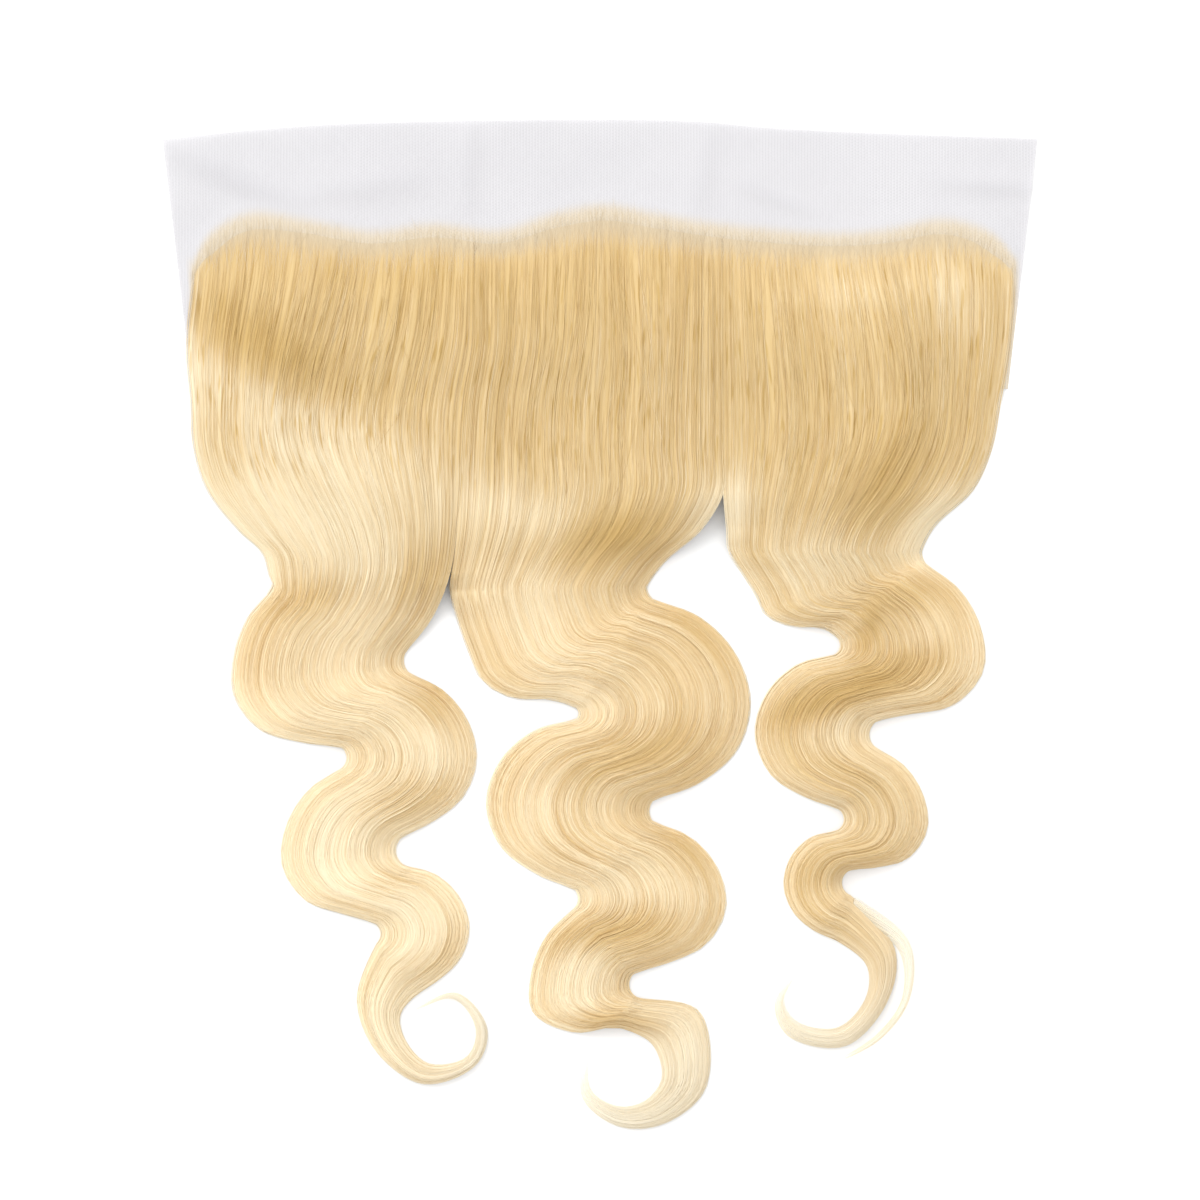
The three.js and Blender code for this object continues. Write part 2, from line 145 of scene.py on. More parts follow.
CURL = "turned hollow width loft"
HANKS = [
    {
        "name": "hair_left",
        "from": "left",
        "to": "left_part",
        "lean": 0.05,
        "neck": table(
            NECK,
            (-0.414, 0.408, 0, -0.164, 0.408, 0.85, 1),
            (-0.387, 0.43, 0, -0.173, 0.455, 0.75, 1),
            (-0.379, 0.452, 0, -0.194, 0.497, 0.2, 0.9),
        ),
        "turns": table(
            TURN,
            ("right", -0.205, 0.537, 0.0195, 0.218, 1.6, 0.68),
            ("left", -0.305, 0.634, 0.015, 0.164, 1.6, 0.62),
            ("right", -0.214, 0.726, 0.0195, 0.151, 2.2, 0.54),
            ("left", -0.265, 0.809, 0.014, 0.116, 2.2, 0.46),
        ),
        "curl": {
            "side": "right",
            "across": -0.186,
            "down": 0.905,
            "rows": table(
                CURL,
                (0, 0.047, 0.074, 0.5),
                (33, 0.046, 0.053, 0.42),
                (73, 0.038, 0.036, 0.36),
                (130, 0.039, 0.024, 0.3),
                (193, 0.045, 0.014, 0.22),
                (237, 0.044, 0.013, 0.2),
                (297, 0.041, 0.008, 0.16),
                (377, 0.036, 0.003, 0.1),
            ),
        },
    },
    {
        "name": "hair_middle",
        "from": "left_part",
        "to": "right_part",
        "lean": 0.01,
        "neck": table(
            NECK,
            (-0.162, 0.408, 0.9, 0.117, 0.406, 0.4, 1),
            (-0.168, 0.447, 0.75, 0.073, 0.44, 0, 0.94),
        ),
        "turns": table(
            TURN,
            ("right", 0.072, 0.464, 0.018, 0.234, 2.5, 0.74),
            ("left", -0.033, 0.59, 0.008, 0.206, 1.3, 0.72),
            ("right", 0.074, 0.687, 0.0175, 0.205, 1.4, 0.66),
            ("left", -0.041, 0.774, 0.0155, 0.186, 1.7, 0.58),
            ("right", 0.05, 0.859, 0.0165, 0.131, 4.2, 0.48),
        ),
        "curl": {
            "side": "left",
            "across": 0.025,
            "down": 0.942,
            "rows": table(
                CURL,
                (0, 0.043, 0.0395, 0.5),
                (39, 0.044, 0.066, 0.36),
                (89, 0.047, 0.052, 0.32),
                (129, 0.046, 0.034, 0.28),
                (169, 0.044, 0.023, 0.24),
                (219, 0.043, 0.014, 0.18),
                (281, 0.043, 0.003, 0.1),
            ),
        },
    },
    {
        "name": "hair_right",
        "from": "right_part",
        "to": "right",
        "lean": -0.04,
        "neck": table(NECK, (0.145, 0.408, 0.35, 0.383, 0.404, 0, 1)),
        "turns": table(
            TURN,
            ("right", 0.391, 0.429, 0.023, 0.215, 3.3, 0.78),
            ("left", 0.262, 0.522, 0.0125, 0.179, 2.2, 0.7),
            ("right", 0.326, 0.611, 0.018, 0.149, 1.7, 0.64),
            ("left", 0.265, 0.695, 0.014, 0.11, 2, 0.58),
            ("right", 0.292, 0.758, 0.0155, 0.082, 2.6, 0.5),
        ),
        "curl": {
            "side": "left",
            "across": 0.257,
            "down": 0.865,
            "rows": table(
                CURL,
                (0, 0.058, 0.054, 0.5),
                (44, 0.056, 0.037, 0.42),
                (84, 0.048, 0.025, 0.36),
                (144, 0.045, 0.023, 0.3),
                (204, 0.047, 0.02, 0.24),
                (239, 0.048, 0.011, 0.18),
                (286, 0.037, 0.003, 0.1),
            ),
        },
    },
]
WISP = table(
    CURL,
    (2, 0.083, 0.032, 0.26),
    (44, 0.096, 0.016, 0.22),
    (79, 0.089, 0.009, 0.2),
    (114, 0.078, 0.007, 0.16),
    (160, 0.085, 0.003, 0.1),
)

# Soft folds of the bare lace, which lift it and darken it with painted shade, and patches of
# painted sheen and painted shade that make the hair lighter or darker: the middle, degrees from
# the X axis, half the length and half the breadth as shares of the lace's width, and how strong.
PATCH = "across down lies half breadth amount"
FOLDS = table(
    PATCH,
    (-0.43, 0.055, -24, 0.09, 0.016, 1),
    (-0.27, 0.068, 8, 0.07, 0.014, 0.5),
    (-0.15, 0.05, 88, 0.07, 0.012, 0.6),
    (0.12, 0.05, 80, 0.07, 0.016, 0.7),
    (0.2, 0.078, -22, 0.05, 0.01, 0.5),
    (0.45, 0.066, -4, 0.06, 0.012, 0.8),
)
PAINTED_SHEENS = table(
    PATCH,
    # Broad ones.
    (-0.149, 0.164, 0, 0.36, 0.055, -0.3),
    (-0.309, 0.636, 80, 0.32, 0.12, 0.65),
    (0.023, 0.676, 90, 0.32, 0.14, 0.4),
    (0.297, 0.616, 90, 0.28, 0.12, 0.35),
    (-0.24, 0.805, 85, 0.13, 0.09, 0.8),
    # Left hank.
    (-0.387, 0.224, -24, 0.11, 0.034, -0.8),
    (-0.475, 0.249, 85, 0.1, 0.02, 0.5),
    (-0.444, 0.25, 85, 0.08, 0.024, 0.4),
    (-0.387, 0.276, -30, 0.1, 0.03, 0.5),
    (-0.252, 0.328, -30, 0.1, 0.04, 0.3),
    (-0.343, 0.33, -28, 0.09, 0.02, 0.3),
    (-0.366, 0.378, -30, 0.12, 0.06, 0.6),
    (-0.398, 0.417, -55, 0.07, 0.026, 0.35),
    (-0.2, 0.452, 50, 0.05, 0.03, -0.5),
    (-0.33, 0.475, 10, 0.06, 0.022, -0.5),
    (-0.195, 0.542, -40, 0.04, 0.02, -0.4),
    (-0.189, 0.579, 60, 0.05, 0.028, -0.35),
    (-0.375, 0.594, -35, 0.07, 0.026, 0.35),
    (-0.189, 0.626, -40, 0.05, 0.03, 0.7),
    (-0.235, 0.678, 22, 0.08, 0.022, -0.4),
    (-0.323, 0.726, 80, 0.05, 0.04, 0.9),
    (-0.246, 0.76, 30, 0.05, 0.02, -0.45),
    (-0.2, 0.8, 70, 0.04, 0.03, 0.6),
    (-0.22, 0.839, 22, 0.06, 0.02, -0.4),
    (-0.246, 0.905, 80, 0.06, 0.03, 0.4),
    # Middle hank.
    (0.143, 0.386, 50, 0.05, 0.03, 0.7),
    (-0.092, 0.388, -20, 0.07, 0.035, 0.5),
    (0.017, 0.413, 14, 0.065, 0.028, -1.1),
    (-0.043, 0.481, -50, 0.06, 0.03, 0.3),
    (0.103, 0.489, -45, 0.08, 0.028, -0.3),
    (-0.092, 0.502, -60, 0.09, 0.04, 0.6),
    (-0.017, 0.574, -20, 0.04, 0.026, 0.35),
    (0.16, 0.608, 60, 0.05, 0.025, 0.35),
    (0.046, 0.629, 14, 0.09, 0.026, -0.6),
    (0.111, 0.654, 20, 0.06, 0.028, -0.35),
    (-0.074, 0.684, 80, 0.06, 0.03, 0.5),
    (0.097, 0.713, -50, 0.06, 0.022, -0.35),
    (0.006, 0.763, 4, 0.09, 0.026, 0.4),
    (0.109, 0.787, 60, 0.04, 0.03, 0.35),
    (0.023, 0.806, 8, 0.09, 0.022, -0.6),
    (-0.032, 0.86, 70, 0.045, 0.035, 1.1),
    (0.011, 0.895, -8, 0.06, 0.014, -0.6),
    (0.101, 0.924, 90, 0.05, 0.03, 0.7),
    # Right hank.
    (0.286, 0.169, 0, 0.12, 0.04, 0.3),
    (0.4, 0.169, -70, 0.06, 0.03, 0.4),
    (0.326, 0.358, 50, 0.07, 0.035, -0.8),
    (0.378, 0.403, 60, 0.06, 0.03, 0.6),
    (0.263, 0.432, -10, 0.07, 0.035, 0.4),
    (0.229, 0.457, -30, 0.05, 0.03, 0.35),
    (0.343, 0.472, 10, 0.05, 0.022, -0.4),
    (0.307, 0.509, 80, 0.03, 0.012, -0.6),
    (0.378, 0.517, 85, 0.05, 0.03, 0.4),
    (0.423, 0.532, 85, 0.05, 0.02, 0.55),
    (0.357, 0.545, 20, 0.06, 0.024, -0.5),
    (0.265, 0.573, 20, 0.08, 0.02, -1.1),
    (0.309, 0.598, 10, 0.07, 0.024, 0.3),
    (0.286, 0.65, -25, 0.05, 0.018, -0.35),
    (0.288, 0.738, 14, 0.06, 0.018, -0.4),
)


def drawn(across, down):
    """Table shares as a point of the plan, which is 1 wide."""
    return np.array([across, -down / PLAN_RATIO])


def placed(plan):
    """Points of the plan in metres."""
    return np.stack(
        [plan[..., 0] * LACE_WIDTH, (plan[..., 1] * PLAN_RATIO + 0.5) * LAY_LENGTH], axis=-1
    )


def ease(value):
    held = np.clip(value, 0, 1)
    return held * held * (3 - 2 * held)


def mix(first, second, share):
    return first + (second - first) * share


def smooth_line(points, at):
    """A centripetal curve through the points, read at places counted in points."""
    points = np.asarray(points, float)
    last = len(points) - 1
    ends = [2 * points[0] - points[1], *points, 2 * points[-1] - points[-2]]
    padded = np.array(ends)
    at = np.clip(at, 0, last)
    row = np.minimum(at.astype(int), last - 1)
    part = (at - row)[..., None]
    a, b, c, d = (padded[row + step] for step in range(4))
    first, middle, final = (
        np.maximum(np.linalg.norm(q - p, axis=-1, keepdims=True), 1e-9) ** 0.5
        for p, q in ((a, b), (b, c), (c, d))
    )
    leaving = ((b - a) / first - (c - a) / (first + middle)) * middle + (c - b)
    arriving = ((d - c) / final - (d - b) / (middle + final)) * middle + (c - b)
    curve = (2 * b - 2 * c + leaving + arriving) * part + (3 * c - 3 * b - 2 * leaving - arriving)
    return (curve * part + leaving) * part + b


def line_over(rows):
    """The down of a table of across and down, as a function of across."""
    points = [drawn(row["across"], row["down"]) for row in rows]
    fine = smooth_line(points, np.linspace(0, len(points) - 1, 400))
    return lambda across: np.interp(across, fine[:, 0], fine[:, 1])


hairline_at = line_over(HAIRLINE)
front_edge_at = line_over(FRONT_EDGE)


def patches(plan, rows):
    """The sum of soft oval patches at points of the plan."""
    total = np.zeros(plan.shape[:-1])
    for row in rows:
        off = plan - drawn(row["across"], row["down"])
        way = np.radians(row["lies"])
        along = off[..., 0] * np.cos(way) + off[..., 1] * np.sin(way)
        aside = off[..., 1] * np.cos(way) - off[..., 0] * np.sin(way)
        total += row["amount"] * np.exp(
            -((along / row["half"]) ** 2) - (aside / row["breadth"]) ** 2
        )
    return total


def grain(across, along, cells_across, cells_along, seed):
    """Smooth seeded noise from -1 to 1 over a hank's breadth and length."""
    values = np.random.default_rng(seed).random((cells_along + 2, cells_across + 2)) * 2 - 1
    x = np.clip(across, 0, 1) * cells_across
    y = np.clip(along, 0, 1) * cells_along
    column, row = x.astype(int), y.astype(int)
    fx, fy = ease(x - column), ease(y - row)
    upper = mix(values[row, column], values[row, column + 1], fx)
    lower = mix(values[row + 1, column], values[row + 1, column + 1], fx)
    return mix(upper, lower, fy)


class Flow:
    """How a hank's hair runs: its plan and its height at a share across and a share along."""

    def __init__(self, sections, rooted):
        self.left = np.array([section[0] for section in sections])
        self.right = np.array([section[1] for section in sections])
        self.lofts = np.array([(row, section[2]) for row, section in enumerate(sections)])
        self.holds = np.array([section[3] for section in sections])
        self.rooted = rooted
        places = np.linspace(0, len(sections) - 1, 1600)
        middle = placed((smooth_line(self.left, places) + smooth_line(self.right, places)) / 2)
        steps = np.linalg.norm(np.diff(middle, axis=0), axis=1)
        walked = np.concatenate([[0], np.cumsum(steps)])
        self.length = walked[-1]
        self.places = places
        self.walked = walked / walked[-1]

    def section_at(self, along):
        return np.interp(along, self.walked, self.places)

    def grown(self, along, sections=1):
        """0 at the roots and 1 a number of sections further down. Neighbouring hanks agree."""
        return ease(self.section_at(along) / sections) if self.rooted else np.ones_like(along)

    def plan(self, across, along):
        at = self.section_at(along)
        left, right = smooth_line(self.left, at), smooth_line(self.right, at)
        point = mix(left, right, across[..., None])
        if self.rooted:
            chord = mix(self.left[0], self.right[0], across[..., None])
            fade = np.maximum(0, 1 - at / HAIRLINE_FADE) ** 2
            point[..., 1] += (hairline_at(chord[..., 0]) - chord[..., 1]) * fade
        return point

    def width(self, along):
        at = self.section_at(along)
        span = smooth_line(self.right, at) - smooth_line(self.left, at)
        return np.linalg.norm(span, axis=-1) * LACE_WIDTH

    def inward(self, across, along):
        """The distance from the nearer side."""
        return np.minimum(across, 1 - across) * self.width(along)

    def hold(self, across, along):
        """1 where the hank leans on its neighbour all the way up, 0 at a free edge."""
        at = self.section_at(along)
        row = np.minimum(at.astype(int), len(self.holds) - 2)
        holds = mix(self.holds[row], self.holds[row + 1], ease(at - row)[..., None])
        return np.where(across < 0.5, holds[..., 0], holds[..., 1])

    def pile(self, across, along, full):
        """The rounded height of the pile above the table, without its grooves."""
        round_top = 1 - np.clip(np.abs(2 * across - 1), 0, 1) ** DOME
        loft = smooth_line(self.lofts, self.section_at(along))[..., 1]
        return full * loft * mix(round_top, 1, self.hold(across, along))


def turn_sign(side):
    return -1 if side == "left" else 1


def turn_section(pivot, side, angle, hollow, reach, loft):
    way = np.array([np.cos(angle), np.sin(angle)])
    near, far = pivot + way * hollow, pivot + way * reach
    ends = (near, far) if side == "left" else (far, near)
    return (*ends, loft, (0, 0))


def pivot_of(turn):
    return drawn(turn["across"], turn["down"])


def angle_of(way):
    return np.arctan2(way[1], way[0])


def first_of(turn, name):
    return turn["rows"][0][name] if "rows" in turn else turn[name]


def sections_of_turn(turn, before, after):
    """The sections round one turn, and the end, hollow and loft that the next one starts from."""
    pivot = pivot_of(turn)
    start, end = before[0] - pivot, pivot_of(after) - pivot
    sign = turn_sign(turn["side"])
    swing = ((angle_of(end) - angle_of(start)) * sign % (2 * np.pi)) * sign
    start_reach = np.linalg.norm(start) - before[1]
    end_reach = np.linalg.norm(end) - first_of(after, "hollow")
    end_loft = SWELL * (turn["loft"] + first_of(after, "loft")) / 2
    made = []
    for share in np.arange(TURN_SECTIONS) / TURN_SECTIONS:
        late = share > 0.5
        full = np.sin(np.pi * share) ** (turn["trail"] if late else 1)
        reach = mix(end_reach if late else start_reach, turn["reach"], full)
        loft = mix(end_loft if late else before[2], turn["loft"], full)
        angle = angle_of(start) + swing * share
        made.append(turn_section(pivot, turn["side"], angle, turn["hollow"], reach, loft))
    return made, (pivot, turn["hollow"], end_loft)


def sections_of_curl(curl, rows, before):
    pivot = pivot_of(curl)
    start = angle_of(before - pivot)
    made = []
    for row in rows:
        angle = start + turn_sign(curl["side"]) * np.radians(row["turned"])
        reach = row["hollow"] + row["width"]
        made.append(turn_section(pivot, curl["side"], angle, row["hollow"], reach, row["loft"]))
    return made


def flows_of(hank):
    """The flow of a hank, and the sections of a wisp beside its curl."""
    gap = PARTING_GAP / 2 / LACE_WIDTH
    left_gap = 0 if hank["from"] == "left" else gap
    right_gap = 0 if hank["to"] == "right" else gap

    def ends(row):
        return row[hank["from"]] + left_gap, row[hank["to"]] - right_gap

    def holds(row):
        return row["hold"] * (hank["from"] != "left"), row["hold"] * (hank["to"] != "right")

    roots = np.clip(ends(FIELD[0]), HAIRLINE[0]["across"], HAIRLINE[-1]["across"])
    root_points = [np.array([across, hairline_at(across)]) for across in roots]
    sections = [(*root_points, ROOT_LOFT, holds(FIELD[0]))]
    for row in FIELD:
        points = [drawn(across, row["down"]) for across in ends(row)]
        sections.append((*points, row["loft"], holds(row)))
    for row in hank["neck"]:
        left = drawn(row["left_across"] + left_gap, row["left_down"])
        right = drawn(row["across"] - right_gap, row["down"])
        sections.append((left, right, row["loft"], (row["left_hold"], row["hold"])))
    far = mix(sections[-1][0], sections[-2][0], -LEAD)
    before = (far, 0, sections[-1][2])
    following = [*hank["turns"][1:], hank["curl"]]
    first_hold = sections[-1][3][0] / 2
    for turn, after in zip(hank["turns"], following):
        made, before = sections_of_turn(turn, before, after)
        if turn is hank["turns"][0]:
            made[0] = (*made[0][:3], (first_hold, 0))
        sections += made
    curl = hank["curl"]
    sections += sections_of_curl(curl, curl["rows"], before[0])
    return Flow(sections, rooted=True), sections_of_curl(curl, WISP, before[0])


class Field:
    """A value that varies over a surface. Sums and products of fields add Math nodes."""

    def __init__(self, shader, socket):
        self.shader = shader
        self.socket = socket

    def math(self, operation, first, second=0.0):
        inputs = {0: first, 1: second}
        return self.shader.node("ShaderNodeMath", {"operation": operation}, inputs)

    def __add__(self, other):
        return self.math("ADD", self, other)

    __radd__ = __add__

    def __sub__(self, other):
        return self.math("SUBTRACT", self, other)

    def __rsub__(self, other):
        return self.math("SUBTRACT", other, self)

    def __mul__(self, other):
        return self.math("MULTIPLY", self, other)

    __rmul__ = __mul__

    def __truediv__(self, other):
        return self.math("DIVIDE", self, other)

    def __abs__(self):
        return self.math("ABSOLUTE", self)

    def wrapped(self):
        """Its distance from the nearest whole number, from 0 to 1."""
        return abs(self.math("FRACT", self) - 0.5) * 2

    def rising(self, low, high):
        """0 below low, 1 above high and smooth between."""
        settings = {"interpolation_type": "SMOOTHSTEP"}
        inputs = {"Value": self, "From Min": low, "From Max": high}
        return self.shader.node("ShaderNodeMapRange", settings, inputs)


class Shader:
    """The node tree of one material."""

    def __init__(self, name):
        self.material = bpy.data.materials.new(name)
        self.material.use_nodes = True
        self.tree = self.material.node_tree
        self.tree.nodes.clear()

    def node(self, kind, settings, inputs, output=0):
        """Adds a node with its settings and its sockets' values or links, and gives an output."""
        made = self.tree.nodes.new(kind)
        for name, value in settings.items():
            setattr(made, name, value)
        for name, value in inputs.items():
            if isinstance(value, Field):
                self.tree.links.new(value.socket, made.inputs[name])
            else:
                made.inputs[name].default_value = value
        return Field(self, made.outputs[output]) if made.outputs else None

    def surface(self, inputs):
        """The Principled shader and the material's output."""
        shader = self.node("ShaderNodeBsdfPrincipled", {}, inputs)
        self.node("ShaderNodeOutputMaterial", {}, {"Surface": shader})
        return self.material

    def attribute(self, name):
        return self.node("ShaderNodeAttribute", {"attribute_name": name}, {}, "Fac")

    def blend(self, factor, first, second, blend_type="MIX"):
        """Two colours mixed by a factor."""
        settings = {"data_type": "RGBA", "blend_type": blend_type}
        return self.node("ShaderNodeMix", settings, {0: factor, 6: first, 7: second}, 2)

    def vector(self, x, y, z=0.0):
        return self.node("ShaderNodeCombineXYZ", {}, {0: x, 1: y, 2: z})

    def noise(self, place, scale, detail=2.0, roughness=0.5):
        inputs = {"Vector": place, "Scale": scale, "Detail": detail, "Roughness": roughness}
        return self.node("ShaderNodeTexNoise", {"noise_dimensions": "3D"}, inputs, "Fac")

    def bump(self, height, distance, strength):
        inputs = {"Height": height, "Distance": distance, "Strength": strength}
        return self.node("ShaderNodeBump", {}, inputs)


def rgba(colour):
    return (*colour[:3], 1.0)


def hair_material(name, look, see_through):
    """Light hair: streaks of three widths along it, short partings darkened with painted shade, and
    paler tips.
    """
    shader = Shader(name)
    uv = shader.node("ShaderNodeUVMap", {"uv_map": "OFBake"}, {})
    parts = [shader.node("ShaderNodeSeparateXYZ", {}, {0: uv}, index) for index in (0, 1)]
    across, along = parts
    pale = shader.attribute("pale")
    tuft = shader.attribute("tuft")
    root = shader.attribute("root")
    hairs = shader.noise(shader.vector(across * 400, along * 10), 1.0, 3.0, 0.65) - 0.5
    streaks = shader.noise(shader.vector(across * 95, along * 12, 7.0), 1.0, 2.0) - 0.5
    locks = shader.noise(shader.vector(across * 24, along * 3, 19.0), 1.0, 2.0) - 0.5
    partings = shader.noise(shader.vector(across * 90, along * 34, 31.0), 1.0, 1.0)
    # Painted shade: short partings between tufts in the field are darkened.
    parting_shade = tuft * (1 - partings.rising(0.28, 0.42))
    short = shader.noise(shader.vector(across * 150, along * 44, 43.0), 1.0, 1.0) - 0.5
    wide = (streaks * 0.5 + locks * 0.55) * (1 - tuft * 0.45)
    fine = hairs * (1.0 - pale * 0.5 - root * 0.7) + tuft * (short * 0.8 - 0.15)
    # This attribute carries painted sheen and painted shade from the patches and grooves, plus tone
    # that differs at random from hair to hair.
    shade = shader.attribute("painted_light_and_tone") + wide + fine - parting_shade * 0.8
    # Dark to light: painted shade pulls towards the dark colour, painted sheen towards the light
    # one, random tone moves between.
    body = shader.blend(shade.rising(-1.1, 0.15), rgba(look.dark_and_shade_colour), rgba(look.hair_colour))
    body = shader.blend(shade.rising(-0.15, 1.2), body, rgba(look.light_and_sheen_colour))
    body = shader.blend(along.rising(0.2, 0.32), body, rgba(look.wave_tint), "MULTIPLY")
    body = shader.blend(root, body, rgba(look.root_colour))
    inputs = {
        "Base Color": shader.blend(pale, body, rgba(look.tip_colour)),
        "Roughness": 0.46 + hairs * 0.25,
        "Normal": shader.bump(hairs + streaks * 0.8, 0.25 * MM, 0.3),
        "Specular IOR Level": 0.35,
        "Sheen Weight": 0.06,
        "Sheen Roughness": 0.4,
    }
    if see_through:
        cover = shader.attribute("cover")
        ragged = (hairs * 4 + streaks * 2) * cover * (1 - cover)
        inputs["Alpha"] = (cover * 1.1 + ragged).rising(0.12, 0.8)
    return shader.surface(inputs)


def lace_material(look):
    """Fine net: wales along the depth with slanting threads between, see-through in the holes, with
    painted shade along its folds.
    """
    shader = Shader("hair_lace_net")
    place = shader.node("ShaderNodeTexCoord", {}, {}, "Object")
    x, y = (shader.node("ShaderNodeSeparateXYZ", {}, {0: place}, index) for index in (0, 1))
    pitch = look.net_pitch
    wander = shader.noise(place, 60.0, 1.0) * 0.25
    wale = (x / pitch + wander).wrapped()
    slant = ((x * 0.5 + y) / pitch).wrapped()
    other = ((x * 0.5 - y) / pitch).wrapped()
    ribs = wale.rising(0.4, 0.8)
    cross = (slant.rising(0.5, 0.85) + other.rising(0.5, 0.85)).rising(0.0, 1.0)
    thread = (ribs + cross * 0.6).rising(0.0, 1.0)
    cloudy = shader.noise(place, 22.0, 3.0) - 0.5
    # The net is darkened along its folds as painted shade.
    fold_shade = shader.attribute("fold_shade")
    knots = shader.attribute("knots")
    light, dark = rgba(look.lace_colour), rgba(look.lace_shade)
    net = shader.blend(thread * 0.3 + cloudy * 0.7 + fold_shade * 0.4, light, dark)
    inputs = {
        "Base Color": shader.blend(knots, net, rgba(look.knot_colour)),
        "Roughness": 0.75,
        "Alpha": 0.72 + thread * 0.16 + knots * 0.12,
        "Normal": shader.bump(thread, 0.08 * MM, 0.4),
        "Sheen Weight": 0.1,
    }
    return shader.surface(inputs)


def floor_material(look):
    shader = Shader("pale_floor")
    place = shader.node("ShaderNodeTexCoord", {}, {}, "Object")
    fine = shader.noise(place, 300.0, 2.0)
    pale = rgba(look.floor_colour)
    lower = rgba([value * 0.99 for value in look.floor_colour])
    inputs = {"Base Color": shader.blend(fine, pale, lower), "Roughness": 0.9}
    return shader.surface(inputs)


def mesh_object(name, points, quads, values, uv, material, caps=(), flat=None):
    """An object from points, quads, point values and a texture place for each point.

    caps are faces of more corners, shaded flat, and flat marks the quads that are.
    """
    mesh = bpy.data.meshes.new(name)
    faces = [tuple(face) for face in np.asarray(quads).tolist()] + [tuple(cap) for cap in caps]
    mesh.from_pydata(np.asarray(points).tolist(), [], faces)
    corner = np.empty(len(mesh.loops), int)
    mesh.loops.foreach_get("vertex_index", corner)
    layer = mesh.uv_layers.new(name="OFBake")
    layer.uv.foreach_set("vector", np.asarray(uv, np.float32)[corner].ravel())
    for key, value in values.items():
        attribute = mesh.attributes.new(key, "FLOAT", "POINT")
        attribute.data.foreach_set("value", np.asarray(value, np.float32).ravel())
    smooth = np.ones(len(faces), bool)
    smooth[len(faces) - len(caps) :] = False
    if flat is not None:
        smooth[: len(flat)] = ~flat
    mesh.polygons.foreach_set("use_smooth", smooth)
    mesh.materials.append(material)
    made = bpy.data.objects.new(name, mesh)
    bpy.context.scene.collection.objects.link(made)
    return made


def grid_quads(rows, columns, start=0, close=False):
    """Quads over a grid of points stored row by row. close joins the last column to the first."""
    row = np.arange(rows - 1)[:, None]
    column = np.arange(columns if close else columns - 1)[None, :]
    after = (column + 1) % columns
    corners = [row * columns + column, (row + 1) * columns + column]
    corners += [(row + 1) * columns + after, row * columns + after]
    return start + np.stack([np.broadcast_to(c, (rows - 1, column.size)) for c in corners], -1)


def lace_half(down):
    """Half the lace's width at a share of its depth."""
    return mix(LACE_WIDTH, LACE_BACK_WIDTH, np.clip(down, 0, 1)) / 2


def rest_height(plan):
    """The height of what the hair lies on: the lace, and past its sides and back the table."""
    x, y = np.moveaxis(placed(plan), -1, 0)
    inside = lace_half((LAY_LENGTH / 2 - y) / LACE_DEPTH) - np.abs(x)
    before = y - LAY_LENGTH / 2 + LACE_DEPTH + BACK_SLOPE
    return LACE_TOP * ease(before / BACK_SLOPE) * ease(inside / SIDE_SLOPE)


class HankForm:
    """A hank's surface with its grooves, and the places of hairs on it."""

    BREADTH, LENGTH = 193, 280
    GROOVES = table(
        "across along depth",
        (7, 3, 0.28),
        (19, 4, 0.12),
        (46, 7, 0.07),
        (98, 10, 0.05),
    )

    def __init__(self, flow, full, seed, lean=0):
        self.flow = flow
        self.full = full
        self.seed = seed
        self.lean = lean
        self.density = 1 if flow.rooted else 0.5

    def drift(self, across, along):
        """Across, pushed aside: the hair leans outwards below its roots and sways further down."""
        at = self.flow.section_at(along)
        lean = self.lean * np.cos(np.pi * at / 4) * (1 - ease((at - 3) / 3))
        sway = lean + grain(across, along, 5, 8, self.seed) * 0.03
        sway += grain(across, along, 11, 7, self.seed + 5) * 0.01
        return across + sway * 4 * across * (1 - across)

    def relief(self, across, along):
        total = np.zeros(across.shape)
        for index, row in enumerate(self.GROOVES):
            noise = grain(across, along, row["across"], row["along"], self.seed + 11 * index)
            total += row["depth"] * MM * (1 - 2 * np.abs(noise))
        fade = ease(self.flow.inward(across, along) / SIDE_RIM)
        return total * mix(1, fade, self.flow.hold(across, along))

    def height(self, across, along, plan):
        pile = self.flow.pile(across, along, self.full)
        rest = rest_height(plan)
        thin = np.clip(pile / (8 * MM), 0, 1)
        rise = self.flow.grown(along, 1.3)
        above = np.maximum(pile - rest, 0) * rise + self.relief(across, along) * thin * rise
        return rest + mix(-0.04, 0.25, rise) * MM + np.maximum(above, 0)

    def point(self, across, along):
        plan = self.flow.plan(self.drift(across, along), along)
        height = self.height(across, along, plan)
        return np.concatenate([placed(plan), height[..., None]], -1), plan

    def texture(self, across, along):
        """Places in the texture, in shares across and in half metres along."""
        return np.stack([np.clip(across, 0, 1), along * self.flow.length * 2], -1)


def painted_light_of(form, plan, across, along):
    """Painted light on the hair: sheen patches, painted shade in its grooves with painted highlight
    on their ridges, and painted rim light at its free edges.
    """
    inward = form.flow.inward(across, along)
    # Painted rim light: free sides are made lighter over SIDE_RIM.
    painted_rim_light = (1 - ease(inward / SIDE_RIM)) * (1 - form.flow.hold(across, along))
    # Painted sheen and shade patches, then the grooves as painted shade and their ridges as painted
    # highlight, then the painted rim light.
    return patches(plan, PAINTED_SHEENS) + form.relief(across, along) / (2.5 * MM) + 0.35 * painted_rim_light


def pale_of(flow, along):
    """How pale and fine the hair is: more and more towards the tips."""
    return ease((along - 0.74) / 0.24) if flow.rooted else np.ones_like(along)


def root_of(flow, along):
    """1 at the hairline, where knots show between the hairs, and 0 a little further down."""
    return 1 - flow.grown(along, 0.5)


def tufted(flow, along):
    """1 in the straight field, where tufts part, fading at the hairline and at the first turn."""
    at = flow.section_at(along)
    return ease((at - 0.15) / 0.6) * (1 - ease((at - 3.5) / 2.5)) * flow.rooted


